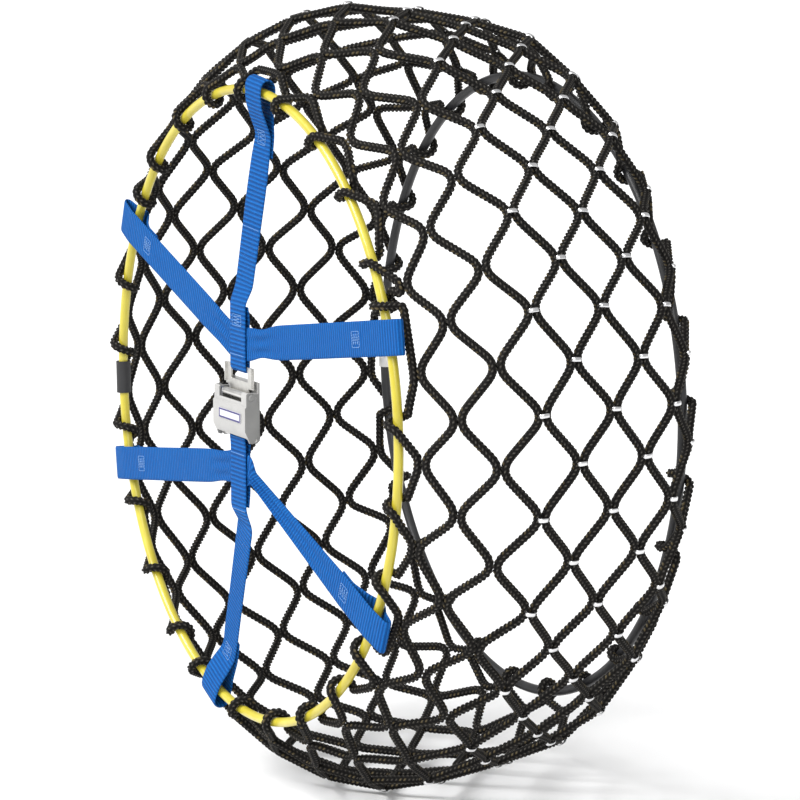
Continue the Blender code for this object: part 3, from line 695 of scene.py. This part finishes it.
def make_staples():
    """Domed steel clips pressed through both ropes of each tread knot."""
    half = [(-3.7, 0.9), (-3.75, 2.7), (-3.5, 3.8), (-2.7, 4.35), (-1.4, 4.6), (0.0, 4.7)]
    path = np.array(half + [(-across, out) for across, out in reversed(half[:-1])]) / 1000.0
    step = np.gradient(path, axis=0)
    step /= np.linalg.norm(step, axis=1)[:, None]
    sides = 12
    angle = np.arange(sides) * math.tau / sides
    flat = np.sign(np.cos(angle)) * np.abs(np.cos(angle)) ** 0.6
    for number, row in enumerate(STAPLED_ROWS, 1):
        vertices = []
        faces = []
        for index in range(MESHES_AROUND):
            middle, across, along, normal = staple_axes(row, index)
            add_tube_faces(faces, len(vertices), len(path), sides)
            for (u, w), (du, dw) in zip(path, step):
                spot = middle + across * u + normal * w
                thick_way = (normal * du - across * dw) * STAPLE_HALF_THICKNESS
                for share, turn in zip(flat, angle):
                    vertices.append(spot + along * STAPLE_HALF_WIDTH * share + thick_way * math.sin(turn))
        fix_normals(mesh_piece("staples_row_%d" % number, vertices, faces, SILVER))


# ---- hoops --------------------------------------------------------------------------------------
def hoop_line(y, joint_angle, half_opening, ends=()):
    angles = np.linspace(joint_angle + half_opening, joint_angle + math.tau - half_opening, 420)
    points = [around_axle(angle, y, HOOP_RADIUS) for angle in angles]
    if ends:
        points = [ends[0]] + points + [ends[1]]
    return resampled(points, 0.004, False)


def make_hoops():
    outer_line = hoop_line(OUTER_HOOP_Y, OUTER_JOINT_ANGLE, math.radians(0.3))
    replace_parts(cable("yellow_hoop", outer_line, YELLOW), "outer_hoop")
    joint_x = -math.sqrt(HOOP_RADIUS**2 - JOINT_HALF**2)
    ends = ((joint_x, INNER_HOOP_Y, -CABLE_END_Z), (joint_x, INNER_HOOP_Y, CABLE_END_Z))
    inner_line = hoop_line(INNER_HOOP_Y, INNER_JOINT_ANGLE, math.asin(JOINT_HALF / HOOP_RADIUS), ends)
    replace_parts(cable("black_hoop", inner_line, BLACK_CABLE), "inner_hoop")


# ---- webbing ------------------------------------------------------------------------------------
class Strip:
    """A webbing strip that follows stations of (centre point, direction across it)."""

    step = 0.002
    fold_waves = 2.5

    def __init__(self, stations):
        points = np.array([tuple(point) for point, _ in stations])
        sides = np.array([tuple(Vector(side).normalized()) for _, side in stations])
        lengths = np.r_[0.0, np.cumsum(np.linalg.norm(np.diff(points, axis=0), axis=1))]
        count = int(lengths[-1] / self.step)
        places = np.linspace(0.0, lengths[-1], count + 1)
        line = np.stack([np.interp(places, lengths, points[:, axis]) for axis in range(3)], axis=1)
        across = np.stack([np.interp(places, lengths, sides[:, axis]) for axis in range(3)], axis=1)
        self.line = rounded(line, 3, False)
        self.across = rounded(across, 6, False)
        along = np.gradient(self.line, axis=0)
        along /= np.linalg.norm(along, axis=1)[:, None]
        self.across -= (self.across * along).sum(axis=1)[:, None] * along
        self.across /= np.linalg.norm(self.across, axis=1)[:, None]
        self.normal = np.cross(self.across, along)
        self.places = places
        self.length = lengths[-1]
        self.width = np.full(len(places), WEBBING_WIDTH)
        self.fold = np.zeros(len(places))

    def narrow(self, place, reach, width, fold=0.0):
        """Gather the strip round a place along it, to a width and with folds of a height."""
        near = np.exp(-(((self.places - place) / reach) ** 2))
        self.width = self.width - near * (WEBBING_WIDTH - width)
        self.fold = self.fold + near * fold

    def taper(self, tight, loose, width, fold):
        """Gather the strip at one place and let it spread out evenly to full width at another."""
        share = np.clip((self.places - tight) / (loose - tight), 0.0, 1.0)
        before = np.exp(-((np.minimum((self.places - tight) * np.sign(loose - tight), 0.0) / 0.006) ** 2))
        gathered = (1.0 - share) * before
        self.width = self.width - gathered * (WEBBING_WIDTH - width)
        self.fold = self.fold + gathered * fold

    def surface(self, place, side, lift):
        """The point at a place along the strip and a distance from its middle, lifted off its face."""
        def at(values):
            return np.array([np.interp(place, self.places, values[:, axis]) for axis in range(3)])

        share = side / (WEBBING_WIDTH / 2)
        half = np.interp(place, self.places, self.width) / 2
        wave = np.interp(place, self.places, self.fold) * math.sin(math.pi * self.fold_waves * share)
        return at(self.line) + at(self.across) * share * half + at(self.normal) * (wave + lift)

    def build(self, name, node):
        columns = 21
        share = np.linspace(-1.0, 1.0, columns)
        edge = np.sqrt(np.clip(1.0 - np.abs(share) ** 14, 0.0, 1.0)) * 0.7 + 0.3
        half_thick = WEBBING_THICKNESS / 2
        ring_share = np.r_[share, share[::-1]]
        ring_lift = np.r_[edge * half_thick, -edge[::-1] * half_thick]
        wave = self.fold[:, None] * np.sin(math.pi * self.fold_waves * ring_share)[None, :]
        lift = wave + ring_lift[None, :]
        vertices = (
            self.line[:, None]
            + self.across[:, None] * (ring_share[None, :, None] * self.width[:, None, None] / 2)
            + self.normal[:, None] * lift[:, :, None]
        )
        rows = len(self.line)
        ring = 2 * columns
        faces, corner_rows, corner_columns = grid_faces(rows, ring, False)
        all_faces = faces.tolist()
        all_faces.append(list(reversed(range(ring))))
        all_faces.append([(rows - 1) * ring + k for k in range(ring)])
        piece = mesh_piece(name, vertices.reshape(-1, 3), all_faces, WEBBING)
        wide = ring_share[corner_columns % ring] * WEBBING_WIDTH * 500
        long = self.places[corner_rows] * 1000
        set_surface_map(piece, "webbing", np.stack([wide, long], axis=2))
        fix_normals(piece)
        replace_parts(piece, node)


def hoop_loop(start, angle, start_y, neck=0.0, neck_y=FRONT_AT_HOOP_Y, overhang=0.0, turn_out=0.0):
    """Stations from the end of the sewn tail, behind and over the hoop, and back to the start point."""
    hoop_point = Vector((HOOP_RADIUS * math.cos(angle), HOOP_RADIUS * math.sin(angle)))
    run = hoop_point - Vector(start)
    along = run.normalized()
    side = Vector((-along.y, 0.0, along.x))
    slope = (neck_y - start_y) / (run.length - neck)

    def front_y(reach):
        return neck_y + slope * min(reach + neck, 0.0)

    path = [
        (-TAIL_LENGTH, front_y(-TAIL_LENGTH) + LAYER_STEP),
        (-0.034, front_y(-0.034) + LAYER_STEP),
        (-0.018, (front_y(-0.018) + LAYER_STEP + BACK_AT_HOOP_Y) / 2 - 0.0008),
        (-0.007, BACK_AT_HOOP_Y - 0.0002),
        (0.000, BACK_AT_HOOP_Y),
    ]
    fold_radius = (BACK_AT_HOOP_Y - FRONT_AT_HOOP_Y) / 2
    fold_y = OUTER_HOOP_Y
    fold_reach = FOLD_REACH
    if overhang:
        fold_radius = FLAT_FOLD_RADIUS
        fold_y = FLAT_FOLD_Y
        fold_reach = FOLD_REACH + overhang
        path.append((0.008, BACK_AT_HOOP_Y - 0.0040))
    for step in range(13):
        turn = math.pi * step / 12
        path.append((fold_reach + fold_radius * math.sin(turn), fold_y + fold_radius * math.cos(turn)))
    path.append((0.0, FRONT_AT_HOOP_Y))
    if neck:
        path += [(-0.012, FRONT_AT_HOOP_Y + 0.0016), (-neck, neck_y)]
    else:
        path.append((-0.02, front_y(-0.02)))
    path.append((-run.length / 2, front_y(-run.length / 2)))
    stations = []
    for reach, y in path:
        spot = hoop_point + along * reach
        away = min(1.0, max(0.0, (-reach - 0.02) / 0.03))
        turned = side + Vector((0.0, turn_out * away, 0.0))
        stations.append((Vector((spot.x, y, spot.y)), turned))
    return stations


def vertical_stations(strap, bar_z):
    """Stations of a strap from the hoop to a bar of the latch, looped round it over a band."""
    direction = 1.0 if strap == "top" else -1.0
    bar_radius = BAR_RADIUS[strap]
    front_y = TONGUE_Y - LOOP_HALF_DEPTH
    back_y = TONGUE_Y + LOOP_HALF_DEPTH
    layer_z = bar_z + direction * (SEAM_END[strap] - 0.020)
    end_z = bar_z + direction * SEAM_END[strap]
    start = (0.0, end_z + direction * 0.0057)
    angle = STRAP_ANGLES[strap]
    stations = hoop_loop(start, angle, STRAP_STEP_Y, STRAP_NECK, STRAP_NECK_Y, turn_out=TURN_OUT[strap])
    across_x = stations[-1][1]
    straight = Vector((-direction, 0.0, 0.0))
    between = (across_x + straight).normalized()
    stations.append((Vector((0.0, STRAP_STEP_Y, start[1])), between))
    stations.append((Vector((0.0, front_y, end_z - direction * 0.0078)), straight))
    stations.append((Vector((0.0, front_y, layer_z)), straight))
    near_bar = bar_z + direction * 0.007
    stations.append((Vector((0.0, front_y, near_bar)), straight))
    for step in range(13):
        turn = math.pi * step / 12
        y = TONGUE_Y - bar_radius * math.cos(turn)
        z = bar_z - direction * bar_radius * math.sin(turn)
        stations.append((Vector((0.0, y, z)), straight))
    stations.append((Vector((0.0, back_y, near_bar)), straight))
    stations.append((Vector((0.0, back_y, end_z - direction * 0.021)), straight))
    tail_y = front_y + LAYER_STEP + 0.0006
    stations.append((Vector((0.0, tail_y, end_z - direction * 0.010)), straight))
    return stations


def band_stations(left_angle, right_angle, height):
    """Stations of one band from hoop to hoop, bent where it passes inside a vertical strap's loop."""
    left = hoop_loop((-BAND_BEND_HALF, height), left_angle, TONGUE_Y, overhang=BAND_OVERHANG)
    right = hoop_loop((BAND_BEND_HALF, height), right_angle, TONGUE_Y, overhang=BAND_OVERHANG)
    left_side = left[-1][1]
    right_side = -right[-1][1]
    bend = []
    for step in range(7):
        share = step / 6
        x = BAND_BEND_HALF * (2 * share - 1)
        bend.append((Vector((x, TONGUE_Y, height)), left_side.lerp(right_side, share)))
    right_back = [(point, -side) for point, side in reversed(right)]
    return left + bend + right_back


def place_of(strip, x, z):
    """The place along the front of a strip that is nearest to a point seen from outboard."""
    gap = (strip.line[:, 0] - x) ** 2 + (strip.line[:, 2] - z) ** 2
    depth = strip.line[:, 1] - strip.line[:, 1].min()
    return strip.places[int(np.argmin(gap + 4 * depth**2))]


def add_stitch(vertices, faces, start, end, normal):
    """One stitch: a short rounded bar that dips into the webbing at both ends."""
    along = end - start
    length = np.linalg.norm(along)
    along = along / length
    sideways = np.cross(along, normal)
    sections = ((0.0, 0.25, -0.4), (0.15, 0.8, 0.3), (0.5, 1.0, 0.75), (0.85, 0.8, 0.3), (1.0, 0.25, -0.4))
    sides = 6
    add_tube_faces(faces, len(vertices), len(sections), sides)
    for share, size, lift in sections:
        middle = start + along * length * share + normal * THREAD_RADIUS * lift
        for side in range(sides):
            angle = side * math.tau / sides
            outward = sideways * math.cos(angle) + normal * math.sin(angle)
            vertices.append(middle + outward * THREAD_RADIUS * size)


def sewn(strip, paths, vertices, faces, lift):
    """Stitches along (place, side) paths on a strip's face."""
    for path in paths:
        flat = np.array([(place, side, 0.0) for place, side in path])
        marks = resampled(flat, STITCH_LENGTH, False)
        for (place_a, side_a, _), (place_b, side_b, _) in zip(marks, marks[1:]):
            start = strip.surface(place_a, side_a, lift)
            end = strip.surface(place_b, side_b, lift)
            normal = strip.surface(place_a, side_a, lift + 0.001) - start
            normal = normal / np.linalg.norm(normal)
            inset = (end - start) * 0.06
            add_stitch(vertices, faces, start + inset, end - inset, normal)


def box_tack(place, half_long, half_wide):
    """A sewn box with a zigzag inside it."""
    box = [
        (place - half_long, -half_wide),
        (place - half_long, half_wide),
        (place + half_long, half_wide),
        (place + half_long, -half_wide),
        (place - half_long, -half_wide),
    ]
    zigzag = []
    for step in range(7):
        side = half_wide * 0.75 * (1 if step % 2 else -1)
        zigzag.append((place - half_long * 0.85 + half_long * 1.7 * step / 6, side))
    return [box, zigzag]


def cross_line(place, half_wide=0.0125):
    return [[(place, -half_wide), (place, half_wide)]]


def tack_place(strip, strap):
    """Where a strap's sewn box is, inward from where its front crosses the hoop."""
    angle = STRAP_ANGLES[strap]
    place = place_of(strip, HOOP_RADIUS * math.cos(angle), HOOP_RADIUS * math.sin(angle))
    inward = 1.0 if place < strip.length / 2 else -1.0
    return place + inward * TACK_FROM_HOOP


def stitch_lift(strip, place):
    """The height of the stitches at a place, on the side of the strip that faces outboard."""
    outboard = np.interp(place, strip.places, strip.normal[:, 1]) < 0
    return STITCH_LIFT if outboard else -STITCH_LIFT


def make_vertical_strap(strap, bar_z, line_heights, box_heights):
    """A strap from the hoop to the latch, with sewn lines and boxes at given heights."""
    strip = Strip(vertical_stations(strap, bar_z))
    tack = tack_place(strip, strap)
    strip.narrow(tack, 0.012, 0.0255)
    strip.build("webbing_" + strap, strap + "_strap")
    paths = box_tack(tack, 0.0062, 0.0062)
    for height in line_heights:
        paths += cross_line(place_of(strip, 0.0, height))
    for height in box_heights:
        paths += box_tack(place_of(strip, 0.0, height), 0.0045, 0.0080)
    vertices = []
    faces = []
    sewn(strip, paths, vertices, faces, stitch_lift(strip, tack))
    fix_normals(mesh_piece("thread_" + strap, vertices, faces, THREAD))


def gather_upper(strip):
    """Creases on both sides of the latch, on the right a little further out."""
    strip.narrow(place_of(strip, 0.040, UPPER_BAND_Z + 0.006), 0.018, 0.0228, 0.0010)
    strip.narrow(place_of(strip, -0.034, UPPER_BAND_Z + 0.008), 0.020, 0.0245, 0.0009)


def gather_lower(strip):
    """A tight gather right of the latch that opens out towards the hoop, and creases on the left."""
    tight = place_of(strip, 0.024, LOWER_BAND_Z - 0.006)
    loose = place_of(strip, 0.175, LOWER_BAND_Z - 0.072)
    strip.taper(tight, loose, 0.0100, 0.0017)
    strip.narrow(place_of(strip, -0.034, LOWER_BAND_Z - 0.003), 0.020, 0.0245, 0.0009)


def make_band(label, left, right, height, gather):
    """A band from hoop to hoop, gathered near the latch and sewn at both ends."""
    strip = Strip(band_stations(STRAP_ANGLES[left], STRAP_ANGLES[right], height))
    gather(strip)
    strip.build("webbing_" + label, label + "_band")
    vertices = []
    faces = []
    for strap in (left, right):
        tack = tack_place(strip, strap)
        sewn(strip, box_tack(tack, 0.0060, 0.0062), vertices, faces, stitch_lift(strip, tack))
    fix_normals(mesh_piece("thread_" + label, vertices, faces, THREAD))


def make_straps():
    make_vertical_strap("top", TONGUE_BAR_Z, (0.0430, 0.1500), (0.072,))
    make_vertical_strap("bottom", LOWER_BAR_Z, (-0.0375, -0.0860), ())
    make_band("upper", "upper_left", "right", UPPER_BAND_Z, gather_upper)
    make_band("lower", "left", "lower_right", LOWER_BAND_Z, gather_lower)


# ---- latch and small metal ----------------------------------------------------------------------
def refined(name, node, material, width, body):
    """A CAD node's own shape with its flat faces joined up and its edges rounded."""
    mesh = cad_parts[node].data.copy()
    mesh.name = name
    mesh.materials.clear()
    mesh.materials.append(material)
    shape = bmesh.new()
    shape.from_mesh(mesh)
    bmesh.ops.remove_doubles(shape, verts=shape.verts, dist=0.00001)
    bmesh.ops.dissolve_limit(shape, angle_limit=math.radians(3), verts=shape.verts, edges=shape.edges)
    shape.to_mesh(mesh)
    shape.free()
    piece = linked(name, mesh)
    bevel = piece.modifiers.new("rounding", "BEVEL")
    bevel.width = width
    bevel.segments = 3
    bevel.limit_method = "ANGLE"
    bevel.angle_limit = math.radians(28)
    bevel.use_clamp_overlap = True
    bevel.harden_normals = True
    piece.data.shade_smooth()
    piece.data.set_sharp_from_angle(angle=math.radians(40))
    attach(piece, body)
    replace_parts(piece, node)
    return piece


def paint_cheek_shade(piece):
    """The pressed side faces carry a darker, matt paint: painted shade on the latch's sides."""
    piece.data.materials.append(CHEEK_PAINTED_SHADE)
    for face in piece.data.polygons:
        if abs(face.normal.x) > 0.7:
            face.material_index = 1


def make_latch():
    # the side faces of cover and base get the painted shade
    paint_cheek_shade(refined("cover_shell", "latch_cover", PAINT, 0.0005, "cover"))
    paint_cheek_shade(refined("base_channel", "latch_base", PAINT, 0.0003, "net"))
    refined("tongue", "tongue_plate", ZINC, 0.0003, "tongue")
    refined("roller", "hinge_roller", STEEL, 0.0003, "roller")
    # the hinge pin carries the same painted shade as the cheeks
    refined("upper_pin", "hinge_pin", CHEEK_PAINTED_SHADE, 0.00025, "net")
    refined("lower_pin", "lower_bar", STEEL, 0.00025, "net")
    refined("pawl", "latch_pawl", STEEL, 0.0002, "cover")
    refined("sleeve", "outer_hoop_sleeve", BLACK_SLEEVE, 0.0005, "net")
    refined("ferrule", "outer_hoop_ferrule", STEEL, 0.0001, "net")
    refined("socket", "inner_hoop_socket", STEEL, 0.0003, "net")
    refined("plug", "inner_hoop_plug", STEEL, 0.0002, "net")
    refined("collar", "inner_lock_collar", STEEL, 0.0004, "collar")
    make_label()
    for node in ("collar_spring", "cover_spring"):
        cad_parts[node].data.materials.clear()
        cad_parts[node].data.materials.append(SPRING_STEEL)


def make_label():
    """Blank white plate with a dark blue border."""
    low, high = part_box("label_plate")
    refined("label", "label_plate", LABEL_WHITE, 0.0002, "cover")
    front = low.y - 0.0001
    back = front + 0.0003
    border = 0.0013
    inset = 0.0002
    outer = (low.x + inset, high.x - inset, low.z + inset, high.z - inset)
    inner = (outer[0] + border, outer[1] - border, outer[2] + border, outer[3] - border)
    corners = []
    for y in (front, back):
        for left, right, bottom, top in (outer, inner):
            corners += [(left, y, bottom), (right, y, bottom), (right, y, top), (left, y, top)]
    faces = []
    for k in range(4):
        n = (k + 1) % 4
        faces.append((k, n, 4 + n, 4 + k))
        faces.append((8 + k, 12 + k, 12 + n, 8 + n))
        faces.append((k, 8 + k, 8 + n, n))
        faces.append((4 + k, 4 + n, 12 + n, 12 + k))
    fix_normals(mesh_piece("label_border", corners, faces, LABEL_BLUE, "cover", smooth=False))


# ---- floor, lights and camera -------------------------------------------------------------------
def make_floor():
    half = 30.0
    height = cad_low.z - 0.0005
    mesh = bpy.data.meshes.new("floor")
    corners = [(-half, -half, height), (half, -half, height), (half, half, height), (-half, half, height)]
    mesh.from_pydata(corners, [], [(0, 1, 2, 3)])
    mesh.materials.append(Paint("floor", (0.9, 0.9, 0.9), 0.9).material)
    linked("floor", mesh)


def add_sun(name, direction, strength, spread_deg):
    """A soft sun that shines along a direction."""
    light = bpy.data.lights.new(name, "SUN")
    light.energy = strength
    light.angle = math.radians(spread_deg)
    lamp = linked(name, light)
    lamp.rotation_mode = "QUATERNION"
    lamp.rotation_quaternion = Vector(direction).to_track_quat("-Z", "Y")


def make_light():
    world = bpy.data.worlds.new("studio")
    world.use_nodes = True
    background = world.node_tree.nodes["Background"]
    background.inputs["Color"].default_value = (1.0, 1.0, 1.0, 1.0)
    background.inputs["Strength"].default_value = 0.55
    bpy.context.scene.world = world
    add_sun("key", (0.25, 0.80, -0.75), 3.4, 34)
    add_sun("side", (-0.80, 0.30, -0.55), 1.3, 40)


def make_camera():
    azimuth = math.radians(62.673)
    elevation = math.radians(9.147)
    distance = 4.0
    aim_right = 0.0077
    aim_down = 0.0041
    back = Vector((
        math.sin(azimuth) * math.cos(elevation),
        -math.cos(azimuth) * math.cos(elevation),
        math.sin(elevation),
    ))
    right = Vector((math.cos(azimuth), math.sin(azimuth), 0.0))
    up = back.cross(right)
    data = bpy.data.cameras.new("camera")
    data.sensor_width = 36.0
    data.lens = 219.4
    data.clip_start = 0.1
    data.clip_end = 100.0
    camera = linked("camera", data)
    place = right * aim_right - up * aim_down + back * distance
    rotation = Matrix((right, up, back)).transposed().to_4x4()
    camera.matrix_world = Matrix.Translation(place) @ rotation
    bpy.context.scene.camera = camera


# ---- build --------------------------------------------------------------------------------------
bpy.context.scene.view_settings.view_transform = "Standard"
make_camera()
make_light()
make_floor()
make_ropes()
make_staples()
make_hoops()
make_straps()
make_latch()
